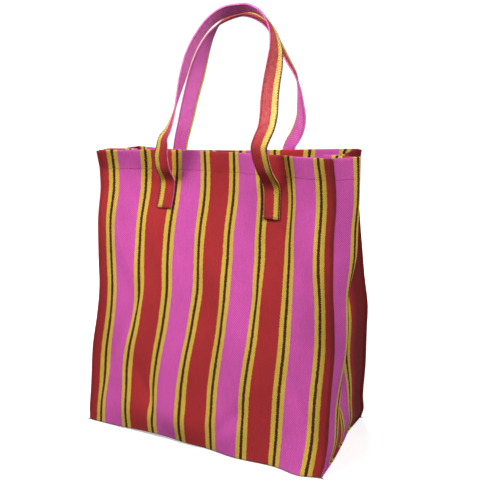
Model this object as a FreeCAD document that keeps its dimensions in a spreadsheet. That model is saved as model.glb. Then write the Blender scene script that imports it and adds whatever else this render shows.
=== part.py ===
"""Striped canvas tote bag, standing open on its base, with two folded canvas handles.

Millimetres. +X is to the bag's right, -Y is its front, +Z is up. The origin is the middle of the
base's underside. The bag is one strip of canvas (front, base and back) sewn to two folded gussets.
The handles are folded straps sewn to the outside of the front and the back.
"""
import FreeCAD, Part
import math
import os

import Sketcher
from FreeCAD import Placement, Rotation, Vector

doc = FreeCAD.newDocument("ToteBag")

# ---------------------------------------------------------------------------------------------
# Driving dimensions
# ---------------------------------------------------------------------------------------------
SIZES = [
    ("bag_width", 362, "front face, corner seam to corner seam"),
    ("cloth", 1.2, "canvas with its seam allowances"),
    ("seam_gap", 0.5, "room between pieces that lie on each other or meet at a fold"),
    ("corner_gap", 0.8, "room between a gusset and the panel it is sewn to"),
    ("side_hollow", 13, "how far the base's side edges curve in"),
    ("level_0", 1.6, "heights at which the cloth's section is given"),
    ("level_1", 50, ""),
    ("level_2", 150, ""),
    ("level_3", 290, ""),
    ("level_4", 390, "rim"),
    ("corner_0", 88.5, "half depth of the bag at its corner seams, at each height"),
    ("corner_1", 74, ""),
    ("corner_2", 57, ""),
    ("corner_3", 46, ""),
    ("corner_4", 50, ""),
    ("middle_0", 90, "half depth of the bag at the middle of its front and back"),
    ("middle_1", 86, ""),
    ("middle_2", 61, ""),
    ("middle_3", 21, ""),
    ("middle_4", 4, ""),
    ("hem_depth", 26, "folded hem, down from the rim"),
    ("strap_width", 22, "folded strap"),
    ("strap_thick", 2.4, ""),
    ("strap_spacing", 166, "between the middles of a handle's two sewn ends"),
    ("sewn_drop", 45, "from the rim down to the sewn end's box of stitches"),
    ("sewn_length", 38, "box of stitches"),
    ("fold_level", 374, "height at which a handle bends over outwards"),
    ("arch_tilt", 26, "degrees that a handle's ribbon tips at its arch"),
    ("thread", 0.8, "sewing thread's width"),
]
sheet = doc.addObject("Spreadsheet::Sheet", "Sizes")
for row, (alias, value, meaning) in enumerate(SIZES, start=1):
    sheet.set(f"A{row}", meaning)
    sheet.set(f"B{row}", str(value))
    sheet.setAlias(f"B{row}", alias)
doc.recompute()


def size(alias):
    """One driving dimension, read from the sheet."""
    return float(sheet.get(alias))


STATIONS = range(5)
HALF_WIDTH = size("bag_width") / 2
RIM = size("level_4")
SIDES = {"left": -1, "right": 1}
FACES = {"front": -1, "back": 1}
subparts = []


def finish_part(item, label):
    """Names a sub-part after its node and keeps it for the export."""
    item.Label = label
    subparts.append(item)
    return item


# ---------------------------------------------------------------------------------------------
# Sketch helpers: closed polygons whose corners are driven by the sheet
# ---------------------------------------------------------------------------------------------
def origin_plane(body, role):
    """The plane of a body's own origin that has this role."""
    return next(f for f in body.Origin.OriginFeatures if f.Role == role)


def new_sketch(body, name, offset=None):
    """A sketch on the body's XY plane, moved from it by an attachment offset."""
    sketch = body.newObject("Sketcher::SketchObject", name)
    sketch.AttachmentSupport = [(origin_plane(body, "XY_Plane"), "")]
    sketch.MapMode = "FlatFace"
    if offset is not None:
        sketch.AttachmentOffset = offset
    return sketch


def polygon(sketch, corners):
    """A closed polygon. Each corner is (x expression, y expression, x value, y value)."""
    points = [Vector(x_value, y_value, 0) for _, _, x_value, y_value in corners]
    count = len(points)
    for index in range(count):
        sketch.addGeometry(Part.LineSegment(points[index], points[(index + 1) % count]))
    for index in range(count):
        following = (index + 1) % count
        sketch.addConstraint(Sketcher.Constraint("Coincident", index, 2, following, 1))
    for index, (x_text, y_text, x_value, y_value) in enumerate(corners):
        for kind, text, value in (("DistanceX", x_text, x_value), ("DistanceY", y_text, y_value)):
            place = sketch.addConstraint(Sketcher.Constraint(kind, -1, 1, index, 1, value))
            sketch.setExpression(f"Constraints[{place}]", text)


# ---------------------------------------------------------------------------------------------
# Base: the middle of the strip, which stands on the floor
# ---------------------------------------------------------------------------------------------
def make_base():
    """A flat plate with side edges that curve in, where the gussets' folds pull them."""
    body = doc.addObject("PartDesign::Body", "Base")
    sketch = new_sketch(body, "BaseOutline")
    half_depth = size("middle_0")
    hollow = size("side_hollow")
    front_left = Vector(-HALF_WIDTH, -half_depth, 0)
    front_right = Vector(HALF_WIDTH, -half_depth, 0)
    back_right = Vector(HALF_WIDTH, half_depth, 0)
    back_left = Vector(-HALF_WIDTH, half_depth, 0)
    sketch.addGeometry(Part.LineSegment(front_left, front_right))
    sketch.addGeometry(Part.Arc(front_right, Vector(HALF_WIDTH - hollow, 0, 0), back_right))
    sketch.addGeometry(Part.LineSegment(back_right, back_left))
    sketch.addGeometry(Part.Arc(back_left, Vector(hollow - HALF_WIDTH, 0, 0), front_left))
    sagitta_radius = (half_depth**2 + hollow**2) / (2 * hollow)
    rules = [
        ("Horizontal", 0), ("Horizontal", 2),
        ("Coincident", 0, 2, 1, 2), ("Coincident", 1, 1, 2, 1),
        ("Coincident", 2, 2, 3, 2), ("Coincident", 3, 1, 0, 1),
        ("Symmetric", 0, 1, 2, 1, -1, 1),
    ]
    for rule in rules:
        sketch.addConstraint(Sketcher.Constraint(*rule))
    driven = [
        ("DistanceX", (0, 1, 0, 2), 2 * HALF_WIDTH, "Sizes.bag_width"),
        ("DistanceY", (0, 2, 2, 1), 2 * half_depth, "2 * Sizes.middle_0"),
        ("Radius", (1,), sagitta_radius,
         "(Sizes.middle_0 ^ 2 + Sizes.side_hollow ^ 2) / (2 * Sizes.side_hollow)"),
    ]
    for kind, where, value, text in driven:
        place = sketch.addConstraint(Sketcher.Constraint(kind, *where, value))
        sketch.setExpression(f"Constraints[{place}]", text)
    sketch.addConstraint(Sketcher.Constraint("Equal", 1, 3))
    pad = body.newObject("PartDesign::Pad", "BasePad")
    pad.Profile = sketch
    pad.setExpression("Length", "Sizes.cloth")
    return finish_part(body, "base_panel")


# ---------------------------------------------------------------------------------------------
# Front and back: a sheet that bulges near the floor and is pinched in at the middle of the rim
# ---------------------------------------------------------------------------------------------
ACROSS = [step / 4 for step in range(-4, 5)]


def make_panel(face):
    """Loft through five sections. Each follows depth = corner + (middle - corner) * cos(90 x / half)."""
    sign = FACES[face]
    body = doc.addObject("PartDesign::Body", f"{face.title()}Panel")
    sections = []
    for station in STATIONS:
        sketch = new_sketch(body, f"{face.title()}Section{station}")
        sketch.setExpression("AttachmentOffset.Base.z", f"Sizes.level_{station}")
        outer, inner = [], []
        for share in ACROSS:
            bulge = math.cos(math.radians(90 * share))
            x_text = f"{share / 2:.4f} * Sizes.bag_width"
            depth_text = (f"(Sizes.corner_{station} + (Sizes.middle_{station}"
                          f" - Sizes.corner_{station}) * {bulge:.6f})")
            depth = size(f"corner_{station}")
            depth += (size(f"middle_{station}") - size(f"corner_{station}")) * bulge
            x_value = share * HALF_WIDTH
            outer.append((x_text, f"{sign} * {depth_text}", x_value, sign * depth))
            inner.append((x_text, f"{sign} * ({depth_text} - Sizes.cloth)", x_value,
                          sign * (depth - size("cloth"))))
        polygon(sketch, outer + inner[::-1])
        sections.append(sketch)
    loft = body.newObject("PartDesign::AdditiveLoft", f"{face.title()}Loft")
    loft.Profile = sections[0]
    loft.Sections = sections[1:]
    return finish_part(body, f"{face}_panel")


make_base()
panels = {face: make_panel(face) for face in FACES}
doc.recompute()


def outside(solid, x, z):
    """Where a line along Y first meets a panel's outer face, as a signed Y."""
    side = -1 if solid.BoundBox.Center.y < 0 else 1
    line = Part.makeLine(Vector(x, side * 2 * size("middle_0"), z), Vector(x, 0, z))
    hit = solid.common(line).BoundBox
    return hit.YMin if side < 0 else hit.YMax


# ---------------------------------------------------------------------------------------------
# Gussets: a sheet at each side, folded inwards along its middle
# ---------------------------------------------------------------------------------------------
# How far each fold stands out from the corner seam (+) or in (-), and its Y, at the five heights.
FRONT_RIDGE = [(-6, -50), (3, -45), (9, -33), (15, -25), (16, -24)]
VALLEY = [(-13, 4), (-28, 8), (-46, 6), (-56, 5), (-59, 5)]
BACK_RIDGE = [(-6, 52), (1, 46), (7, 40), (4, 35), (-1, 40)]


def offset_outline(points, distance):
    """Points moved inwards by distance along the mean of the two neighbouring runs' normals."""
    moved = []
    for index, point in enumerate(points):
        before = points[max(index - 1, 0)]
        after = points[min(index + 1, len(points) - 1)]
        normals = []
        for start, end in ((before, point), (point, after)):
            run = end - start
            if run.Length > 1e-6:
                normals.append(Vector(-run.y, run.x, 0).normalize())
        mean = normals[0]
        if len(normals) == 2:
            mean = (normals[0] + normals[1]).normalize()
        stretch = max(mean.dot(normals[0]), 0.4)
        moved.append(point + mean * (distance / stretch))
    return moved


def gusset_outline(station, side):
    """The gusset's outer line at one height, from its front corner to its back corner."""
    level = size(f"level_{station}")
    end = size(f"corner_{station}") - size("cloth") - size("corner_gap")
    stops = [(0, -end), FRONT_RIDGE[station], VALLEY[station], BACK_RIDGE[station], (0, end)]
    return [Vector(side * (HALF_WIDTH + out), y, level) for out, y in stops]


def make_gusset(name):
    """Loft through five thin zigzag sections."""
    side = SIDES[name]
    wires = []
    for station in STATIONS:
        outer = gusset_outline(station, side)
        inner = offset_outline(outer, side * size("cloth"))
        wires.append(Part.makePolygon(outer + inner[::-1] + outer[:1]))
    gusset = doc.addObject("Part::Feature", f"Gusset{name.title()}")
    gusset.Shape = Part.makeLoft(wires, True, False)
    return finish_part(gusset, f"gusset_{name}")


gussets = {name: make_gusset(name) for name in SIDES}


# ---------------------------------------------------------------------------------------------
# Handles: a flat strap carried along a path. Its inner edge turns from across the bag, where the
# strap is sewn on, to along the depth at the arch.
# ---------------------------------------------------------------------------------------------
# x, y, z of the strap's middle line, the turn in degrees of its inner edge from +X, and how much of
# the arch's tilt it has.
FRONT_LOOP = [
    (-84, -23.4, 374.4, 0, 0), (-84, -23.4, 380, 0, 0), (-81, -24.7, 395, -11, 0), (-68, -24, 419, -38, 0.2),
    (-60, -21, 442, -54, 0.1), (-51, -16.5, 476, -74, 0.1), (-38, -13.7, 516, -86, 0.3),
    (-17, -12, 547, -84, 0.5), (15, -11, 568, -80, 1), (45, -11, 571, -68, 0.7),
    (66, -11, 561, -66, 0.1), (81, -12.8, 541, -86, 0), (87, -18, 512, -124, 0.1),
    (86, -29, 472, -149, 0.2), (87.5, -40, 438, -162, 0.1), (84.5, -51, 413, -174, 0),
    (84.5, -54, 396, -179, 0), (87, -49, 380, -180, 0), (87, -49, 374.4, -180, 0),
]
BACK_LOOP = [
    (-83, 24, 374.4, 0, 0), (-83, 24, 380, 0, 0), (-80.5, 25.5, 398, 8, 0), (-73, 24, 422, 14, -0.2),
    (-58, 19.5, 459, 25, -0.4), (-41, 15, 502, 46, -0.3), (-20, 12, 542, 96, 0),
    (8, 11, 562, 117, 0.8), (36, 11, 566, 116, 0.8), (60, 11.3, 552, 106, 0.7),
    (80, 13.2, 524, 102, 0.5), (97, 17.5, 492, 106, 0.2), (103.5, 22, 462, 124, 0.1),
    (103, 28, 432, 144, 0.2), (94, 32, 411, 157, 0.1), (85, 33.5, 394, 172, 0),
    (83, 33, 380, 180, 0), (83, 33, 374.4, 180, 0),
]


def strap_frames(path):
    """A placement at each point: X along the strap's width, Y through it, Z along the path."""
    points = [Vector(*row[:3]) for row in path]
    frames = []
    for index, (point, row) in enumerate(zip(points, path)):
        ahead = points[min(index + 1, len(points) - 1)]
        behind = points[max(index - 1, 0)]
        along = (ahead - behind).normalize()
        if index in (0, len(points) - 1):
            along = Vector(0, 0, 1 if along.z > 0 else -1)
        turn, tilt = math.radians(row[3]), math.radians(row[4] * size("arch_tilt"))
        edge = Vector(math.cos(turn) * math.cos(tilt), math.sin(turn) * math.cos(tilt), math.sin(tilt))
        edge = (edge - along * edge.dot(along)).normalize()
        frames.append(Placement(point, Rotation(edge, along.cross(edge), along, "XYZ")))
    return frames


def make_strap(label, path, straight_runs):
    """A PartDesign loft of the strap's rectangular section along the path, smooth or in straight runs."""
    body = doc.addObject("PartDesign::Body", label.title().replace("_", ""))
    sections = []
    for index, frame in enumerate(strap_frames(path)):
        sketch = new_sketch(body, f"{body.Name}Section{index}", frame)
        half_w, half_t = size("strap_width") / 2, size("strap_thick") / 2
        polygon(sketch, [
            (f"{across} * Sizes.strap_width / 2", f"{through} * Sizes.strap_thick / 2",
             across * half_w, through * half_t)
            for across, through in ((-1, -1), (1, -1), (1, 1), (-1, 1))
        ])
        sections.append(sketch)
    loft = body.newObject("PartDesign::AdditiveLoft", f"{body.Name}Loft")
    loft.Profile = sections[0]
    loft.Sections = sections[1:]
    loft.Ruled = straight_runs
    return finish_part(body, label)


STRAIGHT_RUN = 6


def sewn_path(face, name, loop_end):
    """The sewn end lies on the panel; above the box of stitches it is free as far as the fold."""
    sign, side = FACES[face], SIDES[name]
    x = side * size("strap_spacing") / 2
    half = size("strap_width") / 2
    clear = size("strap_thick") / 2 + size("seam_gap")
    top = RIM - size("sewn_drop")
    bottom = top - size("sewn_length")
    solid = panels[face].Shape
    path = []
    for z in (bottom, (top + bottom) / 2, top):
        edges = [outside(solid, x + across * half, z) for across in (-1, 1)]
        turn = math.degrees(math.atan2(edges[1] - edges[0], 2 * half))
        bow = abs(outside(solid, x, z) - sum(edges) / 2)
        path.append((x, sum(edges) / 2 + sign * (clear + bow), z, turn, 0))
    fold = size("fold_level") - size("seam_gap")
    path.append((*loop_end[:2], fold - STRAIGHT_RUN, 0, 0))
    path.append((*loop_end[:2], fold, 0, 0))
    return path


LOOPS = {"front": FRONT_LOOP, "back": BACK_LOOP}
sewn_paths = {
    (face, name): sewn_path(face, name, loop[0] if name == "left" else loop[-1])
    for face, loop in LOOPS.items() for name in SIDES
}
for face in FACES:
    make_strap(f"{face}_handle", LOOPS[face], False)
    for name in SIDES:
        make_strap(f"{face}_handle_end_{name}", sewn_paths[face, name], True)


# ---------------------------------------------------------------------------------------------
# Threads: runs of stitching, each a fine square bead on the cloth it holds
# ---------------------------------------------------------------------------------------------
def bead(points, lift, straight_runs=True):
    """A square bead through the points. lift is the direction in which it stands off the cloth."""
    half = size("thread") / 2
    wires = []
    for index, point in enumerate(points):
        ahead = points[min(index + 1, len(points) - 1)]
        behind = points[max(index - 1, 0)]
        along = (ahead - behind).normalize()
        out = (lift[index] - along * lift[index].dot(along)).normalize()
        across = along.cross(out)
        corners = [point + across * (a * half) + out * ((1 + b) * half)
                   for a, b in ((-1, -1), (1, -1), (1, 1), (-1, 1))]
        wires.append(Part.makePolygon(corners + corners[:1]))
    return Part.makeLoft(wires, True, straight_runs)


def make_thread(label, beads):
    """One node of thread: one or more beads, kept as separate solids."""
    thread = doc.addObject("Part::Feature", label.title().replace("_", ""))
    thread.Shape = beads[0] if len(beads) == 1 else Part.makeCompound(beads)
    return finish_part(thread, label)


HEM_LEVEL = RIM - size("hem_depth")
EDGE_INSET = 4
THREAD_LIFT = 0.1
CURVE_LIFT = 0.6
BOX_INSET = 2.5
FOLD_INSET = 5
EDGE_ROW_INSET = 2.2
BASE_THREAD_RISE = 3
CORNER_THREAD_LEVELS = [10, 30, 50, 75, 100, 150, 200, 250, 290, 330, 358]


def box_beads(frames, sign):
    """The four sides of a box of stitches on a strap that runs through three frames."""
    half = size("strap_width") / 2 - BOX_INSET
    rise = size("strap_thick") / 2 + THREAD_LIFT
    rise *= 1 if frames[1].Rotation.multVec(Vector(0, 1, 0)).y * sign > 0 else -1
    share = 2 * BOX_INSET / size("sewn_length")
    edges = []
    for across in (-half, half):
        low, middle, high = [frame.multVec(Vector(across, rise, 0)) for frame in frames]
        edges.append([low + (middle - low) * share, middle, high + (middle - high) * share])
    left, right = edges
    out = Vector(0, sign, 0)
    runs = [left, right, [left[0], right[0]], [left[2], right[2]]]
    return [bead(run, [out] * len(run)) for run in runs]


for face, sign in FACES.items():
    solid = panels[face].Shape
    out = Vector(0, sign, 0)
    reach = HALF_WIDTH - EDGE_INSET
    row = [share * reach for share in ACROSS]
    run = [Vector(x, outside(solid, x, HEM_LEVEL) + sign * THREAD_LIFT, HEM_LEVEL) for x in row]
    make_thread(f"hem_thread_{face}", [bead(run, [out] * len(run))])
    for name, side in SIDES.items():
        x = side * reach
        seam = [Vector(x, outside(solid, x, z) + sign * THREAD_LIFT, z)
                for z in CORNER_THREAD_LEVELS]
        make_thread(f"corner_thread_{face}_{name}", [bead(seam, [out] * len(seam))])
        frames = strap_frames(sewn_paths[face, name])[:3]
        make_thread(f"box_thread_{face}_{name}", box_beads(frames, sign))


def beside_gusset(name, y, z):
    """Where a line along X first meets a gusset's outer face, moved clear of it."""
    side = SIDES[name]
    line = Part.makeLine(Vector(side * 2 * HALF_WIDTH, y, z), Vector(0, y, z))
    hit = gussets[name].Shape.common(line).BoundBox
    return Vector((hit.XMin if side < 0 else hit.XMax) + side * CURVE_LIFT, y, z)


def gusset_row(name, station, z):
    """Beads across a gusset's four legs at one height, each stopping short of the folds."""
    side = SIDES[name]
    beads = []
    outline = gusset_outline(station, side)
    for start, end in zip(outline, outline[1:]):
        run = end - start
        normal = Vector(run.y, -run.x, 0).normalize() * side
        inset = run.normalize() * FOLD_INSET
        stops = [start + inset, (start + end) / 2, end - inset]
        beads.append(bead([beside_gusset(name, stop.y, z) for stop in stops], [normal] * 3))
    return beads


for name in SIDES:
    make_thread(f"base_thread_{name}", gusset_row(name, 0, size("level_0") + BASE_THREAD_RISE))
    make_thread(f"hem_thread_{name}", gusset_row(name, 4, HEM_LEVEL))

for face in FACES:
    frames = strap_frames(LOOPS[face])
    edge = size("strap_width") / 2 - EDGE_ROW_INSET
    beads = []
    for across in (-1, 1):
        for through in (-1, 1):
            rise = through * (size("strap_thick") / 2 + CURVE_LIFT)
            run = [frame.multVec(Vector(across * edge, rise, 0)) for frame in frames]
            lifts = [frame.Rotation.multVec(Vector(0, through, 0)) for frame in frames]
            beads.append(bead(run, lifts, False))
    make_thread(f"edge_thread_{face}_handle", beads)

# ---------------------------------------------------------------------------------------------
# Check and export
# ---------------------------------------------------------------------------------------------
doc.recompute()
for item in doc.Objects:
    assert "Invalid" not in item.State and "Error" not in item.State, item.Name
for part in subparts:
    assert not part.Shape.isNull() and part.Shape.isValid(), part.Label

os.makedirs("parts", exist_ok=True)
for part in subparts:
    part.Shape.exportStep(f"parts/{part.Label}.step")
    box = part.Shape.BoundBox
    print(f"{part.Label:28s} solids {len(part.Shape.Solids)}  volume {part.Shape.Volume / 1000:8.2f} cm3"
          f"  z {box.ZMin:6.1f} to {box.ZMax:6.1f}")
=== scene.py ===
import math

import bpy
import numpy as np
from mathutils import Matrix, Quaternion, Vector


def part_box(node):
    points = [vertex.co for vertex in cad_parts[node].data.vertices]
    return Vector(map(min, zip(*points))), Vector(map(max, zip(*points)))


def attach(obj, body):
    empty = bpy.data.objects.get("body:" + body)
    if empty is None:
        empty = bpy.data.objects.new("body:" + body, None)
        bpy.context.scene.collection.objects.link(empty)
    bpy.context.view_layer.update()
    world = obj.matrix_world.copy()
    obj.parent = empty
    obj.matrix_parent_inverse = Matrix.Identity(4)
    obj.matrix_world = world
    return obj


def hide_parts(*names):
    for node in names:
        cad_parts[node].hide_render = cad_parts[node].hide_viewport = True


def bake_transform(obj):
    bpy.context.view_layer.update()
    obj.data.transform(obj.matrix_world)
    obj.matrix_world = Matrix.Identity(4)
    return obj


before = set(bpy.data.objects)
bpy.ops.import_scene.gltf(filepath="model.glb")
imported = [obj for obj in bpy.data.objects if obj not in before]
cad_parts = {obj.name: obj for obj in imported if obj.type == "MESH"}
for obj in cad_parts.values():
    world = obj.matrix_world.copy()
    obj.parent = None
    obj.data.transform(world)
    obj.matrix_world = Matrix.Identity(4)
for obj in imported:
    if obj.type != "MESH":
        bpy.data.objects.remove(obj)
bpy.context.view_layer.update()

# =============================================================================================
# Camera: it looks at the bag's front right corner from a little above the rim.
# =============================================================================================
VIEW_AZIMUTH = math.radians(26.14)
VIEW_ELEVATION = math.radians(12.63)
VIEW_ROLL = math.radians(-0.394)
VIEW_TARGET = Vector((0.0415, 0.0, 0.2586))
VIEW_DISTANCE = 0.95
VIEW_LENS = 50.4

scene = bpy.context.scene
level_part = math.cos(VIEW_ELEVATION)
backwards = Vector((math.sin(VIEW_AZIMUTH) * level_part, -math.cos(VIEW_AZIMUTH) * level_part,
                    math.sin(VIEW_ELEVATION)))
camera = bpy.data.objects.new("camera", bpy.data.cameras.new("camera"))
camera.data.lens = VIEW_LENS
camera.location = VIEW_TARGET + backwards * VIEW_DISTANCE
camera.rotation_mode = "QUATERNION"
camera.rotation_quaternion = (-backwards).to_track_quat("-Z", "Y") @ Quaternion((0, 0, 1), VIEW_ROLL)
scene.collection.objects.link(camera)
scene.camera = camera

# =============================================================================================
# Strip: one length of striped cotton canvas makes the front, the base and the back. It is folded
# up at the base's front and back edges and hemmed at the rim. It is two pieces here, joined in the
# middle of the base.
# =============================================================================================
MM = 0.001
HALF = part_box("front_panel")[1].x / MM
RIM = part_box("front_panel")[1].z / MM
DEPTH = 90
CLOTH = 0.9
CLOTH_RISE = 400
HEM = 26
ROLL = 1.1
SEAM = 4
UNDERSIDE = 0.3
SIGN = {"front": -1, "back": 1}

# How each face stands, given at lengths of cloth above the base's edge: the depth of its corners,
# how far it leans to one side, how far its middle stands back, and its one-sided sway.
RELIEF = {
    "front": ((0, -88, -3.5, -2, 0.5), (30, -76.8, 1.3, -14.8, 0.4), (70, -67.8, 3.4, -14.1, -2),
              (100, -62.6, 4.4, -11.7, -3.9), (150, -56.3, 2.6, -6, -3), (200, -53.3, -2.5, 6.5, 0.8),
              (250, -49.1, -6.8, 18.7, 3.9), (300, -42.4, -7.5, 25.6, 2.2),
              (350, -35, -6.8, 28.8, -2.8), (375, -37, -5, 34.5, -6.5), (400, -44.2, -1.8, 43, -9.8)),
    "back": ((0, 88, 2, 2, 0), (40, 76, 0, 12, 1), (100, 66, -2, 8, 2), (150, 58, -1, 3, 1),
             (200, 54, 0, -7, -1), (250, 50, 1, -17, -2), (300, 46.5, 1, -25, -1), (350, 44, 0, -33, 1),
             (375, 45, 0, -38, 2), (400, 49, 0, -45, 3)),
}
# Where each face's two corner seams run, from side to side, at lengths of cloth above the base.
SEAMS = {
    ("front", -1): ((0, -181), (40, -183), (110, -183), (155, -178), (200, -177), (250, -181),
                    (320, -183), (350, -182), (372, -181), (400, -176)),
    ("front", 1): ((0, 184), (40, 184), (100, 183), (170, 184), (210, 183), (250, 180.5), (300, 177.5),
                   (350, 178), (400, 175)),
    ("back", -1): ((0, -177), (50, -183), (120, -187), (200, -188), (280, -184), (350, -177),
                   (400, -171)),
    ("back", 1): ((0, 177), (16, 182), (44, 183), (100, 188), (150, 191), (190, 192), (230, 187),
                  (275, 184), (320, 180), (358, 176), (400, 179)),
}
# The base's side edges, drawn in where the gussets fold: distance along the depth, and how far out.
FOOT = ((-88, 2), (-52, -5), (8, -16), (48, -10), (88, -3))
# Where each face's lower edge lifts off the floor: how far, the middle and the width along the edge.
LIFTS = {"front": (4.5, -60, 55), "back": (2.5, 40, 60)}
LIFT_HEIGHT = 35
# Where the front's lower edge pushes forwards: how far, the middle and the width along the edge.
TOES = ((4, 70, 40), (8, 150, 24))
TOE_HEIGHT = 26
# How much the back's rim rises towards the right.
BACK_RIM_RISE = 5
# Soft folds in each face: where each starts and ends, its depth inwards and its width.
FOLD_STRENGTH = 1.7
FACE_FOLDS = {
    "front": (((-170, 30), (-95, 250), 1.8, 9), ((-60, 20), (-110, 110), 1.6, 8),
              ((168, 20), (110, 150), 1.7, 9), ((-160, 330), (-120, 200), -1.5, 10),
              ((83, 300), (60, 180), 1.4, 10), ((-83, 300), (-60, 200), 1.2, 9),
              ((160, 300), (140, 180), -1.8, 9), ((20, 15), (70, 70), 1.5, 9)),
    "back": (((-165, 40), (-80, 200), 1.8, 10), ((165, 30), (90, 170), 1.8, 9),
             ((80, 305), (20, 190), 1.5, 9), ((-82, 305), (-40, 220), 1.3, 9),
             ((-20, 20), (30, 100), 1.4, 10)),
}

ACROSS = np.linspace(SEAM - HALF, HALF - SEAM, 121)
UP_CLOTH = np.concatenate([np.linspace(0, 14, 8), np.linspace(18, CLOTH_RISE - HEM, 90),
                           np.linspace(CLOTH_RISE - HEM, CLOTH_RISE, 9)[1:]])
ALONG_BASE = np.concatenate([np.linspace(0, DEPTH - 14, 20), np.linspace(DEPTH - 12, DEPTH, 7)[:-1]])
MIDDLE_COLUMN = len(ACROSS) // 2


def curve(stations, at):
    """Smooth curve through stations (place, values...): each span is a cubic that leaves its two
    stations with the mean slope of their neighbours."""
    table = np.asarray(stations, float)
    places, values = table[:, 0], table[:, 1:]
    slopes = np.gradient(values, places, axis=0)
    at = np.clip(np.asarray(at, float), places[0], places[-1])
    span = np.clip(np.searchsorted(places, at, side="right") - 1, 0, len(places) - 2)
    length = (places[span + 1] - places[span])[..., None]
    share = (at - places[span])[..., None] / length
    start = values[span] * (1 + 2 * share) + slopes[span] * length * share
    end = values[span + 1] * (3 - 2 * share) - slopes[span + 1] * length * (1 - share)
    return start * (1 - share) ** 2 + end * share**2


def unit(vectors):
    """Each vector divided by its length."""
    return vectors / np.maximum(np.linalg.norm(vectors, axis=-1, keepdims=True), 1e-9)


def smoothstep(low, high, at):
    """0 below low, 1 above high and a smooth rise between them."""
    share = np.clip((at - low) / (high - low), 0, 1)
    return share * share * (3 - 2 * share)


def bump(at, middle, width):
    """A bell curve, 1 at its middle."""
    return np.exp(-(((at - middle) / width) ** 2))


def fold_line(u, v, start, end, depth, width):
    """A soft fold in cloth: a bell-shaped groove along the line from start to end, which fades in
    and out along its length. A negative depth makes a ridge."""
    run = np.subtract(end, start)
    length = np.hypot(*run)
    share = ((u - start[0]) * run[0] + (v - start[1]) * run[1]) / length**2
    aside = ((u - start[0]) * run[1] - (v - start[1]) * run[0]) / length
    ends = smoothstep(-0.15, 0.35, share), smoothstep(1.15, 0.65, share)
    return FOLD_STRENGTH * depth * bump(aside, 0, width) * ends[0] * ends[1]


def face_waves(face, u, v):
    """How far a face's cloth stands in from its broad shape: long waves, puckers and soft folds."""
    free = smoothstep(0, 60, v)
    waves = 0.9 * np.sin(u / 27 + v / 83) + 0.7 * np.sin(u / 15.5 - v / 61 + 1.3)
    puckers = np.sin(u / 12 + v / 60 + 0.8 * np.sin(v / 37))
    waves += 1.6 * puckers * (0.5 + 0.5 * np.sin(v / 31 + u / 47 + 1))
    waves += 0.5 * np.sin(v / 23 + u / 140) + 0.35 * np.sin(u / 8.3 + v / 150 + 0.4)
    waves = waves * (0.5 + 0.9 * free)
    hem = bump(v, CLOTH_RISE - HEM, 9)
    waves += hem * (0.5 + 0.35 * np.sin(u / 4.1) + 0.3 * np.sin(u / 6.7 + 2))
    for start, end, depth, width in FACE_FOLDS[face]:
        waves += fold_line(u, v, start, end, depth, width)
    return waves


def face_grid(face):
    """The outer side of a face, as rows up the cloth and columns across it. Its depth is
    corner + lean x + bulge cos(90 x) + sway sin(180 x), with x from -1 to 1 across, and its columns
    keep their spacing along the cloth: each step sideways is sqrt(step^2 - change of depth^2)."""
    u, v = np.meshgrid(ACROSS, UP_CLOTH)
    x = u / HALF
    corner, lean, bulge, sway = np.moveaxis(curve(RELIEF[face], v), -1, 0)
    y = corner + lean * x + bulge * np.cos(x * np.pi / 2) + sway * np.sin(x * np.pi)
    y -= SIGN[face] * face_waves(face, u, v)
    if face == "front":
        y -= sum(out * bump(u, middle, width) for out, middle, width in TOES) * np.exp(-v / TOE_HEIGHT)
    steps = np.sqrt(np.maximum(np.diff(u) ** 2 - np.diff(y) ** 2, 1))
    reach = np.pad(np.cumsum(steps, axis=1), ((0, 0), (1, 0)))
    left, right = (curve(SEAMS[face, side], v)[..., 0] - side * SEAM for side in (-1, 1))
    x_place = left + (right - left) * reach / reach[:, -1:]
    z = UNDERSIDE + v / CLOTH_RISE * (RIM - 1 - UNDERSIDE)
    lift, middle, width = LIFTS[face]
    z += lift * bump(u, middle, width) * np.exp(-v / LIFT_HEIGHT)
    if face == "back":
        z += BACK_RIM_RISE * smoothstep(-0.6, 0.9, x) * smoothstep(150, 400, v)
    return np.stack([x_place, y, z], axis=-1)


def base_grid(face, foot_row):
    """Half of the base, from its middle to the face's foot. Its side edges follow FOOT."""
    share = (ALONG_BASE / DEPTH)[:, None]
    y = share * foot_row[:, 1]
    out = np.interp(y, *np.transpose(FOOT))
    foot_out = np.interp(foot_row[:, 1], *np.transpose(FOOT))
    x = foot_row[:, 0] * (HALF + out - SEAM) / (HALF + foot_out - SEAM)
    z = UNDERSIDE + (foot_row[:, 2] - UNDERSIDE) * smoothstep(0.5, 1, share)
    z = z + 0.5 * (1 + np.sin(x / 31 + y / 17)) * smoothstep(0, 0.4, share) * smoothstep(1, 0.8, share)
    return np.stack([x, y, z], axis=-1)


def outward(points, towards):
    """Unit normals of a grid, turned to the side that the vector towards points to."""
    normals = unit(np.cross(np.gradient(points, axis=1), np.gradient(points, axis=0)))
    facing = np.sign(np.sum(normals * towards, axis=-1).mean())
    return normals * facing


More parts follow.
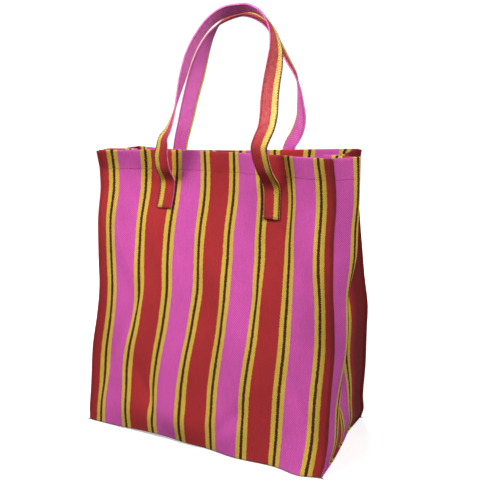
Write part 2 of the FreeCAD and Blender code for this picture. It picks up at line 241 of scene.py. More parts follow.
def add_hem(points, lengths, towards):
    """Rows beyond the rim: a half roll inwards, then the cloth's folded end down the inside. It
    stops a little short of the corner seams. Returns the new grid and the cloth lengths of its rows."""
    normals = outward(points, towards)
    up = unit(points[-1] - points[-2])
    angles = np.linspace(0, np.pi, 8)[1:]
    bend = [points[-1] + ROLL * (normals[-1] * (math.cos(a) - 1) + up * math.sin(a)) for a in angles]
    inner_rows = np.flatnonzero(lengths >= CLOTH_RISE - HEM - 0.01)[-2::-1]
    inner = points[inner_rows] - 2 * ROLL * normals[inner_rows]
    middle = inner.mean(axis=1, keepdims=True)
    ends = np.abs(np.linspace(-1, 1, points.shape[1])) ** 8
    level = np.array([1, 1, 0])
    inner = inner + unit((middle - inner) * level) * (2.5 * ends)[None, :, None]
    grid = np.concatenate([points, np.stack(bend), inner])
    beyond = np.concatenate([CLOTH_RISE + ROLL * angles, 2 * CLOTH_RISE + 3 - lengths[inner_rows]])
    return grid, np.concatenate([lengths, beyond])


def grid_piece(name, points, cloth, flip=False):
    """A mesh of quads over a grid of points, with the cloth's own lengths across and along, in
    millimetres, as its UV map."""
    rows, columns = points.shape[:2]
    numbers = np.arange(rows * columns).reshape(rows, columns)
    quads = np.stack([numbers[:-1, :-1], numbers[:-1, 1:], numbers[1:, 1:], numbers[1:, :-1]], axis=-1)
    quads = quads.reshape(-1, 4)
    if flip:
        quads = quads[:, ::-1]
    mesh = bpy.data.meshes.new(name)
    mesh.from_pydata((points.reshape(-1, 3) * MM).tolist(), [], quads.tolist())
    layer = mesh.uv_layers.new(name="cloth")
    layer.data.foreach_set("uv", cloth.reshape(-1, 2)[quads.reshape(-1)].astype(np.float32).reshape(-1))
    mesh.polygons.foreach_set("use_smooth", np.ones(len(quads), bool))
    piece = bpy.data.objects.new(name, mesh)
    scene.collection.objects.link(piece)
    return piece


def thicken(piece, thickness=CLOTH * MM):
    """Gives a cloth its thickness, inwards from its outer side."""
    solid = piece.modifiers.new("thickness", "SOLIDIFY")
    solid.thickness = thickness
    solid.offset = -1


def add_seam_columns(points, edge_ways):
    """Columns beyond a grid's two sides: the seam allowance, which stands out along edge_ways."""
    steps = np.linspace(0, SEAM, 4)[1:, None, None]
    left = points[:, 0] + steps[::-1] * edge_ways[-1]
    right = points[:, -1] + steps * edge_ways[1]
    return np.concatenate([np.moveaxis(left, 0, 1), points, np.moveaxis(right, 0, 1)], axis=1)


def strip_half(face):
    """The outer side of the strip from the base's middle to the hem's end, with both seam edges."""
    upper = face_grid(face)
    grid = np.concatenate([base_grid(face, upper[0]), upper])
    lengths = np.concatenate([ALONG_BASE - DEPTH, UP_CLOTH])
    for _ in range(2):
        middle = (grid[:-2] + 2 * grid[1:-1] + grid[2:]) / 4
        near_fold = bump(lengths[1:-1], 0, 14)[:, None, None]
        grid[1:-1] += (middle - grid[1:-1]) * near_fold
    grid, lengths = add_hem(grid, lengths, (0, SIGN[face], 0))
    rise = smoothstep(-4, 12, lengths)
    inside = (lengths > CLOTH_RISE + 0.1).astype(float)
    length = ((1 - 0.9 * inside) * (1 - 0.7 * bump(lengths, 0, 10)))[:, None]
    ways = {side: np.stack([side * (1 - 0.12 * rise), SIGN[face] * 0.5 * rise, 0 * rise], axis=-1) * length
            for side in (-1, 1)}
    grid = add_seam_columns(grid, ways)
    allowance = np.linspace(0, SEAM, 4)[1:]
    columns = np.concatenate([ACROSS[0] - allowance[::-1], ACROSS, ACROSS[-1] + allowance])
    cloth = np.stack(np.meshgrid(columns, lengths), axis=-1)
    return grid, cloth


FACE = {face: face_grid(face) for face in SIGN}


# Canvas: a warp-striped twill in red, magenta, mustard and near black. Across the cloth the bands
# repeat every 91.44 mm, and the weft is a dull red that shows a little in every band.
REPEAT = 91.44
BANDS = ((0, "magenta"), (15.5, "mustard"), (21, "black"), (25, "mustard"), (30.5, "red"),
         (60.94, "mustard"), (66.44, "black"), (70.44, "mustard"), (75.94, "magenta"))
DYES = {"magenta": (0.57, 0.088, 0.38), "mustard": (0.58, 0.42, 0.05), "black": (0.026, 0.013, 0.004),
        "red": (0.35, 0.024, 0.024)}
WEFT_DYE = (0.42, 0.05, 0.09)


class Nodes:
    """Short ways to add and join the nodes of one tree."""

    def __init__(self, tree):
        self.tree = tree

    def add(self, kind, inputs=(), **settings):
        """A node with its settings. Each input is a value or another node's output."""
        node = self.tree.nodes.new(kind)
        for setting, value in settings.items():
            setattr(node, setting, value)
        for name, value in dict(inputs).items():
            socket = node.inputs[name]
            if isinstance(value, bpy.types.NodeSocket):
                self.tree.links.new(value, socket)
            else:
                socket.default_value = value
        return node

    def maths(self, operation, *values):
        """A Math node's output."""
        return self.add("ShaderNodeMath", enumerate(values), operation=operation).outputs[0]

    def remap(self, value, low, high, new_low, new_high):
        """A value carried from one range to another, clamped."""
        inputs = {"Value": value, 1: low, 2: high, 3: new_low, 4: new_high}
        return self.add("ShaderNodeMapRange", inputs).outputs[0]

    def mix(self, factor, first, second, blend="MIX"):
        """A mixed colour."""
        node = self.add("ShaderNodeMix", {0: factor, 6: first, 7: second}, data_type="RGBA",
                        blend_type=blend)
        return node.outputs[2]

    def noise(self, vector, scale, detail=2.0):
        """A noise value from 0 to 1."""
        inputs = {"Vector": vector, "Scale": scale, "Detail": detail}
        return self.add("ShaderNodeTexNoise", inputs).outputs[0]


def new_group(name, inputs, outputs):
    """A shader node group with named sockets, each (name, kind, value). Returns its tree, its
    helper and its input and output nodes."""
    tree = bpy.data.node_groups.new(name, "ShaderNodeTree")
    for label, kind, value in inputs:
        socket = tree.interface.new_socket(name=label, in_out="INPUT", socket_type="NodeSocket" + kind)
        if value is not None:
            socket.default_value = value
    for label, kind in outputs:
        tree.interface.new_socket(name=label, in_out="OUTPUT", socket_type="NodeSocket" + kind)
    nodes = Nodes(tree)
    return tree, nodes, nodes.add("NodeGroupInput"), nodes.add("NodeGroupOutput")


def make_stripes_group():
    """The dyed bands: the place across the cloth, wavering by a hair, runs through one repeat."""
    tree, nodes, given, out = new_group("stripes", [("Cloth", "Vector", None)], [("Color", "Color")])
    across = nodes.add("ShaderNodeSeparateXYZ", {0: given.outputs["Cloth"]}).outputs
    waver = nodes.noise(given.outputs["Cloth"], 0.35, 1.0)
    place = nodes.maths("ADD", across[0], nodes.maths("MULTIPLY_ADD", waver, 0.7, -0.35))
    ragged = nodes.noise(given.outputs["Cloth"], 0.9, 0.0)
    place = nodes.maths("ADD", place, nodes.maths("MULTIPLY_ADD", ragged, 2.4, -1.2))
    phase = nodes.maths("FRACT", nodes.maths("ADD", nodes.maths("DIVIDE", place, REPEAT), 0.5))
    ramp = nodes.add("ShaderNodeValToRGB", {0: phase})
    ramp.color_ramp.interpolation = "CONSTANT"
    stops = ramp.color_ramp.elements
    for index, (start, dye) in enumerate(BANDS):
        stop = stops[index] if index < len(stops) else stops.new(start / REPEAT)
        stop.position = start / REPEAT
        stop.color = (*DYES[dye], 1)
    tree.links.new(ramp.outputs[0], out.inputs["Color"])
    return tree


def make_weave_group():
    """A two-and-two twill: each warp yarn runs over two wefts and under two, one step on from its
    neighbour. Puts out the yarns' height, where the weft lies on top, and each yarn's own tone."""
    tree, nodes, given, out = new_group(
        "weave", [("Cloth", "Vector", None), ("Yarn", "Float", 0.7)],
        [("Height", "Float"), ("Weft", "Float"), ("Tone", "Float")])
    places = nodes.add("ShaderNodeSeparateXYZ", {0: given.outputs["Cloth"]}).outputs
    warp = nodes.maths("DIVIDE", places[0], given.outputs["Yarn"])
    weft = nodes.maths("DIVIDE", places[1], given.outputs["Yarn"])
    warp_number = nodes.maths("FLOOR", warp)
    weft_number = nodes.maths("FLOOR", weft)
    step = nodes.maths("FLOORED_MODULO", nodes.maths("ADD", warp_number, weft_number), 4.0)
    weft_on_top = nodes.maths("GREATER_THAN", step, 1.5)
    crowns = []
    for yarn in (warp, weft):
        from_middle = nodes.maths("SUBTRACT", nodes.maths("FRACT", yarn), 0.5)
        square = nodes.maths("MULTIPLY", from_middle, from_middle)
        crowns.append(nodes.maths("MULTIPLY_ADD", square, -3.4, 1.0))
    over = nodes.maths("MULTIPLY", crowns[0], nodes.maths("SUBTRACT", 1.0, weft_on_top))
    under = nodes.maths("MULTIPLY", nodes.maths("MULTIPLY", crowns[1], 0.72), weft_on_top)
    rib = nodes.maths("SINE", nodes.maths("MULTIPLY", nodes.maths("ADD", warp, weft), math.pi / 2))
    height = nodes.maths("ADD", nodes.maths("ADD", over, under), nodes.maths("MULTIPLY", rib, 0.25))
    number = nodes.add("ShaderNodeCombineXYZ", {0: warp_number, 1: weft_number})
    along_warp = nodes.add("ShaderNodeCombineXYZ", {0: warp_number, 1: nodes.maths("MULTIPLY", weft, 0.04)})
    slub = nodes.noise(along_warp.outputs[0], 1.3, 1.0)
    speck = nodes.add("ShaderNodeTexWhiteNoise", {0: number.outputs[0]}, noise_dimensions="3D").outputs[0]
    tone = nodes.maths("ADD", nodes.maths("MULTIPLY", slub, 0.7), nodes.maths("MULTIPLY", speck, 0.3))
    for name, value in (("Height", height), ("Weft", weft_on_top), ("Tone", tone)):
        tree.links.new(value, out.inputs[name])
    return tree


def make_rub_group():
    """Worn places and painted highlight: where the attribute is high, along rims and folds from use and on
    the straps' free parts as painted highlight, the dye is paler and duller in broken patches. Broad,
    faint clouds tone the whole cloth."""
    tree, nodes, given, out = new_group(
        "rub", [("Color", "Color", None), ("Place", "Vector", None), ("Rub and painted highlight", "Float", 0.0),
                ("Amount", "Float", 0.5)],
        [("Color", "Color"), ("Roughness", "Float")])
    patches = nodes.noise(given.outputs["Place"], 260.0, 4.0)
    broken = nodes.maths("MULTIPLY", given.outputs["Rub and painted highlight"], nodes.remap(patches, 0.3, 0.7, 0.4, 1.0))
    share = nodes.maths("MULTIPLY", broken, given.outputs["Amount"])
    clouds = nodes.remap(nodes.noise(given.outputs["Place"], 14.0, 3.0), 0.3, 0.7, 0.93, 1.06)
    toned = nodes.add("ShaderNodeHueSaturation", {"Color": given.outputs["Color"], "Value": clouds})
    pale = nodes.add("ShaderNodeHueSaturation",
                     {"Color": toned.outputs[0], "Saturation": 0.86, "Value": 2.0})
    tree.links.new(nodes.mix(share, toned.outputs[0], pale.outputs[0]), out.inputs["Color"])
    tree.links.new(nodes.remap(share, 0.0, 1.0, 0.86, 0.97), out.inputs["Roughness"])
    return tree


STRIPES, WEAVE, WEAR_AND_PAINTED_HIGHLIGHT = make_stripes_group(), make_weave_group(), make_rub_group()


def new_material(name, roughness, sheen):
    """A material with its Principled shader's constant values set on their own sockets."""
    material = bpy.data.materials.new(name)
    material.use_nodes = True
    shader = material.node_tree.nodes["Principled BSDF"]
    shader.inputs["Roughness"].default_value = roughness
    shader.inputs["Specular IOR Level"].default_value = 0.05
    shader.inputs["Sheen Weight"].default_value = sheen
    shader.inputs["Sheen Roughness"].default_value = 0.55
    return material, Nodes(material.node_tree), shader


def cloth_material(name, yarn, weft_share, wear_and_painted_light, relief):
    """Woven canvas: the stripes with the weft showing through, each yarn's own tone, painted shade on the
    lower yarns, near the seams and in the gussets' folds, worn places, and a painted highlight on the
    straps.
    """
    material, nodes, shader = new_material(name, 0.9, 0.03)
    cloth = nodes.add("ShaderNodeUVMap", uv_map="cloth").outputs[0]
    place = nodes.add("ShaderNodeTexCoord").outputs["Object"]
    stripes = nodes.add("ShaderNodeGroup", {}, node_tree=STRIPES)
    material.node_tree.links.new(cloth, stripes.inputs["Cloth"])
    weave = nodes.add("ShaderNodeGroup", {}, node_tree=WEAVE)
    material.node_tree.links.new(cloth, weave.inputs["Cloth"])
    weave.inputs["Yarn"].default_value = yarn
    weft = nodes.maths("MULTIPLY", weave.outputs["Weft"], weft_share)
    dyed = nodes.mix(weft, stripes.outputs["Color"], (*WEFT_DYE, 1))
    value = nodes.remap(weave.outputs["Tone"], 0.2, 0.8, 0.84, 1.14)
    # Painted shade: where the weft lies on top it is darker, as in the warp's shade, and the warp on top is
    # lighter.
    painted_weave_shade = nodes.remap(weave.outputs["Weft"], 0.0, 1.0, 1 + weft_share / 2, 1 - weft_share / 2)
    value = nodes.maths("MULTIPLY", value, painted_weave_shade)
    # Painted shade: near the seams and in the gussets' folds the colour is darkened, down to 0.42 of its
    # value.
    fresh = nodes.add("ShaderNodeAttribute", attribute_name="fresh").outputs["Fac"]
    value = nodes.maths("MULTIPLY", value, nodes.remap(fresh, 0.0, 1.0, 1.0, 0.42))
    toned = nodes.add("ShaderNodeHueSaturation", {"Color": dyed, "Value": value})
    rubbed = nodes.add("ShaderNodeGroup", {}, node_tree=WEAR_AND_PAINTED_HIGHLIGHT)
    rub = nodes.add("ShaderNodeAttribute", attribute_name="rub").outputs["Fac"]
    for socket, value in (("Color", toned.outputs[0]), ("Place", place), ("Rub and painted highlight", rub)):
        material.node_tree.links.new(value, rubbed.inputs[socket])
    rubbed.inputs["Amount"].default_value = wear_and_painted_light
    material.node_tree.links.new(rubbed.outputs["Color"], shader.inputs["Base Color"])
    material.node_tree.links.new(rubbed.outputs["Roughness"], shader.inputs["Roughness"])
    bumps = nodes.add("ShaderNodeBump", {"Height": weave.outputs["Height"], "Strength": relief,
                                         "Distance": 0.0002})
    material.node_tree.links.new(bumps.outputs[0], shader.inputs["Normal"])
    return material


def set_wear_and_painted_light(piece, **wear_and_painted_light):
    """Stores at each point of a cloth, from 0 to 1, how much use and painted highlight pale it, and how
    much painted shade darkens it.
    """
    for name, amount in wear_and_painted_light.items():
        attribute = piece.data.attributes.new(name, "FLOAT", "POINT")
        attribute.data.foreach_set("value", amount.reshape(-1).astype(np.float32))


canvas = cloth_material("striped canvas", 0.7, 0.2, 0.35, 0.7)
for face, sign in SIGN.items():
    grid, cloth = strip_half(face)
    piece = grid_piece(f"{face}_cloth", grid, cloth, flip=sign > 0)
    across, along = cloth[..., 0], cloth[..., 1]
    rub = 0.5 * bump(along, CLOTH_RISE + 1.5, 2.5) + 0.3 * bump(along, 0, 5)
    rub = rub + 0.2 * bump(abs(across), HALF, 1.5)
    # Painted shade: each face is darker towards its right seam, darker still at that seam, and darker near
    # its left seam up to about 300 mm above the base.
    fresh = 0.5 * smoothstep(HALF - 24, HALF - 8, across)
    fresh = fresh + 0.4 * smoothstep(HALF - 5, HALF - 3, across)
    fresh = fresh + 0.35 * smoothstep(HALF - 20, HALF - 8, -across) * smoothstep(330, 240, along)
    set_wear_and_painted_light(piece, rub=np.clip(rub, 0, 1), fresh=fresh)
    piece.data.materials.append(canvas)
    thicken(piece)
    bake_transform(piece)
    if face == "front":
        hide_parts("front_panel", "base_panel")
    else:
        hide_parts("back_panel")

# =============================================================================================
# Gussets: a narrow length of the same canvas at each side, sewn to the strip at both corners and
# along the base. Each folds inwards along its middle. It is two pieces here, joined at that fold.
# =============================================================================================
GUSSET_HALF = 87
GUSSET_COLUMNS = 66
FOLD_ROUNDING = 8
FOOT_HEIGHT = UNDERSIDE + 2 * CLOTH + 0.1
# At lengths up the cloth: how far the front ridge, the inward fold and the back ridge stand out
# from the line of the seams, each with its place along the depth.
FOLDS = {
    -1: ((0, -6, -43, -14, 4, -8, 40), (24, -4, -32, -26, 3, -5, 34), (70, -3, -22, -38, 2, -6, 24),
         (120, -1, -14, -42, 2, -8, 16), (200, 5, -9, -42, 2, -9, 10), (290, 12, -5, -36, 4, -6, 12),
         (400, 17, -4, -33, 4, -2, 14)),
    1: ((0, 1, -44, -1, 3, -4, 40), (24, 3.5, -38, -1, 3, -3.5, 38), (50, 3, -29, -7, 3, -5, 31),
        (75, 2, -20, -22, 2, -6.5, 23), (117, 1.5, -10, -44, 3, -7, 15), (178, 5.5, -7, -42, 2, -7, 9),
        (218, 8, -8, -42, 2, -8, 9), (277, 20, -7, -35, 4, -6.5, 10), (316, 22, -3, -33, 5, -6.5, 11),
        (400, 26.5, -4, -32, 4, -6.5, 9)),
}
# The gusset is cut so that a magenta band starts at its front seam and a red one ends at its back.
GUSSET_CUT = ((-91, 30.3), (-54, 61.22), (52.4, 167.66), (91, 197.9))


def gusset_grid(side):
    """A gusset's outer side: a line with straight legs through its seams and folds at each height,
    averaged over a short length of cloth each way so that its folds are round, with faint waves."""
    w, v = np.meshgrid(np.linspace(-GUSSET_HALF, GUSSET_HALF, 2 * GUSSET_COLUMNS + 1), UP_CLOTH)
    edge = 0 if side < 0 else -1
    allowance = np.array([0, 2 * CLOTH + 0.1, 0])
    front, back = FACE["front"][:, edge] + allowance, FACE["back"][:, edge] - allowance
    stations = curve(FOLDS[side], UP_CLOTH)
    stops = [front]
    for index in range(3):
        out, y = stations[:, 2 * index], stations[:, 2 * index + 1]
        share = (y - front[:, 1]) / (back[:, 1] - front[:, 1])
        x = front[:, 0] + (back[:, 0] - front[:, 0]) * share + side * out
        stops.append(np.stack([x, y, front[:, 2]], axis=-1))
    stops.append(back)
    stops = np.stack(stops)
    legs = np.linalg.norm(np.diff(stops, axis=0), axis=-1)
    marks = np.concatenate([np.zeros((1, len(legs[0]))), np.cumsum(legs, axis=0)])
    marks = (2 * marks / marks[-1] - 1) * GUSSET_HALF
    points = np.zeros(w.shape + (3,))
    offsets = np.linspace(-FOLD_ROUNDING, FOLD_ROUNDING, 9)
    for offset in offsets:
        points += stops[0][:, None, :] / len(offsets)
        for leg in range(4):
            share = (w + offset - marks[leg][:, None]) / (marks[leg + 1] - marks[leg])[:, None]
            share = np.clip(share, -9 if leg == 0 else 0, 9 if leg == 3 else 1)
            points += share[..., None] * (stops[leg + 1] - stops[leg])[:, None, :] / len(offsets)
    across = ((w + GUSSET_HALF) / (2 * GUSSET_HALF))[..., None]
    points += (front[:, None] - points[:, :1]) * (1 - across) + (back[:, None] - points[:, -1:]) * across
    free_share = np.sin(across[..., 0] * np.pi) * smoothstep(0, 40, v)
    waves = 0.9 * np.sin(v / 31 + w / 19) + 0.7 * np.sin(v / 17 - w / 13 + 2) + 0.5 * np.sin(v / 53 + w / 7)
    return points + outward(points, (side, 0, 0)) * (waves * free_share)[..., None]


def gusset_piece(side, face):
    """Half a gusset, from its inward fold to the seam with a face, and from foot to hem."""
    whole = GUSSET[side]
    foot = np.stack([whole[0] + (side * out, 0, 0) for out in (3.0, 1.8, 0.7)])
    grid = np.concatenate([foot, whole])
    lengths = np.concatenate([[-3.0, -1.8, -0.7], UP_CLOTH])
    grid[..., 2] += (FOOT_HEIGHT - grid[..., 2]) * smoothstep(3, 0, lengths)[:, None]
    grid, lengths = add_hem(grid, lengths, (side, 0, 0))
    inside = (lengths > CLOTH_RISE + 0.1).astype(float)
    ways = {}
    for end, name in ((-1, "front"), (1, "back")):
        way = np.array([side * 0.88, SIGN[name] * 0.5, 0])
        ways[end] = way * (1 - 0.9 * inside)[:, None]
    grid = add_seam_columns(grid, ways)
    allowance = np.linspace(0, SEAM, 4)[1:]
    columns = np.linspace(-GUSSET_HALF, GUSSET_HALF, 2 * GUSSET_COLUMNS + 1)
    columns = np.concatenate([columns[0] - allowance[::-1], columns, columns[-1] + allowance])
    middle = len(columns) // 2
    part = slice(0, middle + 1) if face == "front" else slice(middle, None)
    cut = np.interp(columns, *np.transpose(GUSSET_CUT))
    cloth = np.stack(np.meshgrid(cut, lengths), axis=-1)
    rub = 0.5 * bump(cloth[..., 1], CLOTH_RISE + 1.5, 2.5) + 0.3 * bump(cloth[..., 1], 0, 3)
    rub = rub + 0.2 * bump(abs(columns), GUSSET_HALF + SEAM, 1.5)
    side_name = "left" if side < 0 else "right"
    piece = grid_piece(f"gusset_{side_name}_{face}", grid[:, part], cloth[:, part], flip=side < 0)
    # Painted shade: the gusset is darker on its back part, towards the back seam, and along its front seam.
    fresh = smoothstep(48, 72, columns) + smoothstep(-81, -86, columns)
    fresh = np.broadcast_to(fresh, rub.shape)
    set_wear_and_painted_light(piece, rub=np.clip(rub[:, part], 0, 1), fresh=fresh[:, part])
    piece.data.materials.append(canvas)
    thicken(piece)
    return piece


GUSSET = {side: gusset_grid(side) for side in (-1, 1)}


def blend_across_gusset(piece):
    """Bakes a piece on half a gusset into place: its transform goes into its mesh."""
    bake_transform(piece)


for side, side_name in ((-1, "left"), (1, "right")):
    for face in SIGN:
        piece = gusset_piece(side, face)
        blend_across_gusset(piece)
        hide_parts(f"gusset_{side_name}")

# =============================================================================================
# Seam stitches: a row of dark red sewing thread through each corner seam, from base to rim, and a
# row along each side of the base. Each stitch is a short, rounded bead that sinks at its ends.
# =============================================================================================
STITCH_PITCH = 3.4
STITCH_LENGTH = 2.7
STITCH_RADIUS = 0.32


def stitch_piece(name, rows):
    """All stitches of one piece. Each row is (points along it, outward normals). A stitch is a
    tube of six sides whose radius and height follow a half circle from end to end."""
    starts, ends, lifts = [], [], []
    for points, normals in rows:
        reach = np.concatenate([[0], np.cumsum(np.linalg.norm(np.diff(points, axis=0), axis=-1))])
        begin = np.arange(STITCH_PITCH / 2, reach[-1] - STITCH_LENGTH, STITCH_PITCH)
        place = [np.stack([np.interp(at, reach, column) for column in values.T], axis=-1)
                 for at, values in ((begin, points), (begin + STITCH_LENGTH, points), (begin, normals))]
        starts.append(place[0])
        ends.append(place[1])
        lifts.append(unit(place[2]))
    start, end, lift = (np.concatenate(parts)[:, None, None] for parts in (starts, ends, lifts))
    share = np.array([0.02, 0.2, 0.5, 0.8, 0.98])[None, :, None, None]
    swell = np.sqrt(np.sin(share * np.pi))
    angle = np.linspace(0, 2 * np.pi, 6, endpoint=False)[None, None, :, None]
    aside = unit(np.cross(end - start, lift))
    middle = start + (end - start) * share + lift * STITCH_RADIUS * (swell - 0.6)
    points = middle + STITCH_RADIUS * swell * (aside * np.cos(angle) + lift * np.sin(angle))
    count = len(start)
    ring = np.arange(6)
    first = ring[None, :] + 6 * np.arange(4)[:, None]
    second = (ring[None, :] + 1) % 6 + 6 * np.arange(4)[:, None]
    tube = np.stack([first, second, second + 6, first + 6], axis=-1).reshape(-1, 4)
    offsets = 30 * np.arange(count)[:, None, None]
    quads = (tube[None] + offsets).reshape(-1, 4)
    caps = np.stack([ring[::-1], ring + 24])[None] + offsets
    mesh = bpy.data.meshes.new(name)
    faces = quads.tolist() + caps.reshape(-1, 6).tolist()
    mesh.from_pydata((points.reshape(-1, 3) * MM).tolist(), [], faces)
    mesh.polygons.foreach_set("use_smooth", np.ones(len(mesh.polygons), bool))
    piece = bpy.data.objects.new(name, mesh)
    scene.collection.objects.link(piece)
    piece.data.materials.append(sewing_thread)
    return piece


def thread_material(name, dye):
    """Twisted cotton thread: fine slanted plies, and a tone that drifts along the seam."""
    material, nodes, shader = new_material(name, 0.6, 0.1)
    place = nodes.add("ShaderNodeTexCoord").outputs["Object"]
    plies = nodes.add("ShaderNodeTexWave", {"Vector": place, "Scale": 900.0, "Distortion": 1.0},
                      bands_direction="DIAGONAL")
    drift = nodes.remap(nodes.noise(place, 90.0), 0.3, 0.7, 0.8, 1.25)
    toned = nodes.add("ShaderNodeHueSaturation", {"Color": (*dye, 1), "Value": drift})
    shade = nodes.remap(plies.outputs["Fac"], 0.0, 1.0, 0.72, 1.1)
    twisted = nodes.add("ShaderNodeHueSaturation", {"Color": toned.outputs[0], "Value": shade})
    material.node_tree.links.new(twisted.outputs[0], shader.inputs["Base Color"])
    bumps = nodes.add("ShaderNodeBump", {"Height": plies.outputs["Fac"], "Strength": 0.4,
                                         "Distance": 0.0001})
    material.node_tree.links.new(bumps.outputs[0], shader.inputs["Normal"])
    return material


sewing_thread = thread_material("sewing thread", (0.16, 0.018, 0.035))
SEAM_ROW_INSET = 1.2
NORMALS = {face: outward(FACE[face], (0, SIGN[face], 0)) for face in SIGN}
for face, sign in SIGN.items():
    for side, side_name in ((-1, "left"), (1, "right")):
        edge = 0 if side < 0 else -1
        out = (side * SEAM_ROW_INSET * 0.88, sign * (SEAM_ROW_INSET * 0.5 + 0.05), 0)
        seam_line = FACE[face][3:, edge] + out
        facing = np.tile([-side * 0.5, sign * 0.88, 0], (len(seam_line), 1))
        piece = stitch_piece(f"corner_stitches_{face}_{side_name}", [(seam_line, facing)])
        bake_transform(piece)
        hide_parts(f"corner_thread_{face}_{side_name}")
for side, side_name in ((-1, "left"), (1, "right")):
    foot = GUSSET[side][0] + (side * 1.6, 0, 0)
    foot[:, 2] = FOOT_HEIGHT + 0.05
    middle = len(foot) // 2
    for face, part in (("front", slice(0, middle + 1)), ("back", slice(middle, None))):
        row = foot[part]
        upward = np.tile([0, 0, 1.0], (len(row), 1))
        piece = stitch_piece(f"base_stitches_{side_name}_{face}", [(row, upward)])
        blend_across_gusset(piece)
        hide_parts(f"base_thread_{side_name}")

# =============================================================================================
# Hem stitches: one row round the mouth, through the outer cloth and the folded hem.
# =============================================================================================
hem_row = int(np.argmin(abs(UP_CLOTH - (CLOTH_RISE - HEM + 1.5))))
for face, sign in SIGN.items():
    row, facing = FACE[face][hem_row], NORMALS[face][hem_row]
    piece = stitch_piece(f"hem_stitches_{face}", [(row + facing * 0.1, facing)])
    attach(piece, face)
    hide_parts(f"hem_thread_{face}")
for side, side_name in ((-1, "left"), (1, "right")):
    facing = outward(GUSSET[side], (side, 0, 0))[hem_row]
    row = GUSSET[side][hem_row] + facing * 0.1
    middle = len(row) // 2
    for face, part in (("front", slice(0, middle + 1)), ("back", slice(middle, None))):
        piece = stitch_piece(f"hem_stitches_{side_name}_{face}", [(row[part], facing[part])])
        blend_across_gusset(piece)
        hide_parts(f"hem_thread_{side_name}")

# =============================================================================================
# Handles: two straps of the same canvas, folded to 22 mm and stitched along both edges. Each end is
# sewn to the outside of a face. The front strap's red side and the back strap's magenta side show.
# =============================================================================================
STRAP_WIDTH = 22
STRAP_THICK = 2.4
STRAP_ROW = 8.9
SEWN_PLACE = 83
EDGE_ROWS_FROM_END = 48
SEWN_LOW, SEWN_HIGH = {-1: 311, 1: 307}, 345
# Free part of each handle: x, y, z of its middle line, the turn in degrees of its magenta edge from
# +X, and that edge's rise in degrees. The sewn ends are worked out from the faces.
FREE_STRAP = {
    "front": ((-81, -21.5, 368, 0, 0), (-81, -24, 383, -3, 0), (-78.5, -24.5, 396, -13, 2),
              (-76, -25, 406, -22, 4), (-68, -24, 419, -38, 5), (-60.5, -21, 440, -53, 3),
              (-55, -18.5, 462, -66, 2), (-48, -15.5, 488, -80, 4), (-38, -13.7, 516, -86, 7),
              (-24, -12.3, 539, -84, 10), (-6, -11.3, 557, -84, 16), (15, -11, 567, -80, 24),
              (30, -11, 569.5, -74, 22), (47, -11, 570, -66, 15), (61, -11, 565, -62, 4),
              (73, -11.5, 554, -70, -3), (81, -12.8, 541, -86, -2), (86.5, -15.5, 522, -112, 2),
              (87, -20, 502, -132, 5), (86, -26, 482, -146, 5), (86, -33, 460, -154, 4),
              (87.5, -40, 438, -162, 4), (87, -46, 424, -168, 3), (84, -51, 413, -172, 2),
              (81, -54, 402, -176, 0), (81.5, -51, 388, -178, 0), (83, -45, 374, -180, 0)),
    "back": ((-83, 22, 368, -180, 0), (-82, 24.5, 382, -178, 0), (-80.5, 25.5, 392, -174, 0),
             (-77.5, 25.5, 405, -170, 3), (-71.5, 24, 422, -166, 6), (-65, 22, 440, -161, 9),
             (-58, 19.5, 459, -155, 11), (-48, 16.5, 484, -148, 12), (-41, 15, 502, -134, 9),
             (-32, 13, 522, -112, 2), (-20, 12, 542, -84, 0), (-8, 11.3, 554, -70, -12),
             (10, 11, 563, -62, -21), (31, 11, 566, -65, -22), (45, 11, 562, -70, -20),
             (60, 11.3, 553, -74, -17), (78, 13, 527, -78, -13), (91, 15.5, 504, -77, -9),
             (99, 18, 489, -73, -5), (102.5, 20, 475, -63, -2), (104, 23.5, 453, -48, -3),
             (103.5, 27, 435, -38, -5), (99, 30, 421, -30, -7), (93, 32, 410, -26, -6),
             (86, 33, 400, -24, -4), (83, 32.5, 388, -14, 0), (83, 28, 373, 0, 0)),
}
# Where the strap's outline meets the dyed bands: length round it, and place across the cloth.
STRAP_CUT = ((0, 1.3), (13.7, 15.22), (14.4, 15.6), (20.2, 20.5), (22.2, 24.72), (25.6, 30.22),
             (46.6, 50))


def face_depth(face, x, z):
    """The depth of a face's outer side at a height and a place across it."""
    row = int(np.argmin(abs(FACE[face][:, MIDDLE_COLUMN, 2] - z)))
    return float(np.interp(x, FACE[face][row, :, 0], FACE[face][row, :, 1]))


def sewn_stations(face, side):
    """The sewn end: flat on the face, with the strap's two edges clear of it."""
    x = side * SEWN_PLACE
    stations = []
    for z in np.linspace(SEWN_LOW[side], SEWN_HIGH, 3):
        depths = [face_depth(face, x + across, z) for across in (-10, 0, 10)]
        turn = math.degrees(math.atan2(depths[2] - depths[0], 20))
        out = max(d * SIGN[face] for d in (depths[1], (depths[0] + depths[2]) / 2))
        turn = turn if side * SIGN[face] > 0 else turn - 180
        stations.append((x, SIGN[face] * (out + STRAP_THICK / 2 + 0.3), z, turn, 0))
    return stations


def strap_line(face):
    """The whole strap, end to end: stations spaced by their distance along it, as one table."""
    stations = sewn_stations(face, -1) + list(FREE_STRAP[face]) + sewn_stations(face, 1)[::-1]
    table = np.asarray(stations, float)
    reach = np.concatenate([[0], np.cumsum(np.linalg.norm(np.diff(table[:, :3], axis=0), axis=-1))])
    return np.column_stack([reach, table])


def strap_frames(face, at):
    """Middle line, direction of the magenta edge and direction out of the red side, at lengths."""
    table = STRAP_LINE[face]
    values = curve(table, at)
    ahead, behind = curve(table, at + 0.5), curve(table, at - 0.5)
    along = unit(ahead[..., :3] - behind[..., :3])
    turn, tilt = np.radians(values[..., 3]), np.radians(values[..., 4])
    edge = np.stack([np.cos(turn) * np.cos(tilt), np.sin(turn) * np.cos(tilt), np.sin(tilt)], axis=-1)
    edge = unit(edge - along * np.sum(edge * along, axis=-1, keepdims=True))
    return values[..., :3], edge, np.cross(edge, along)


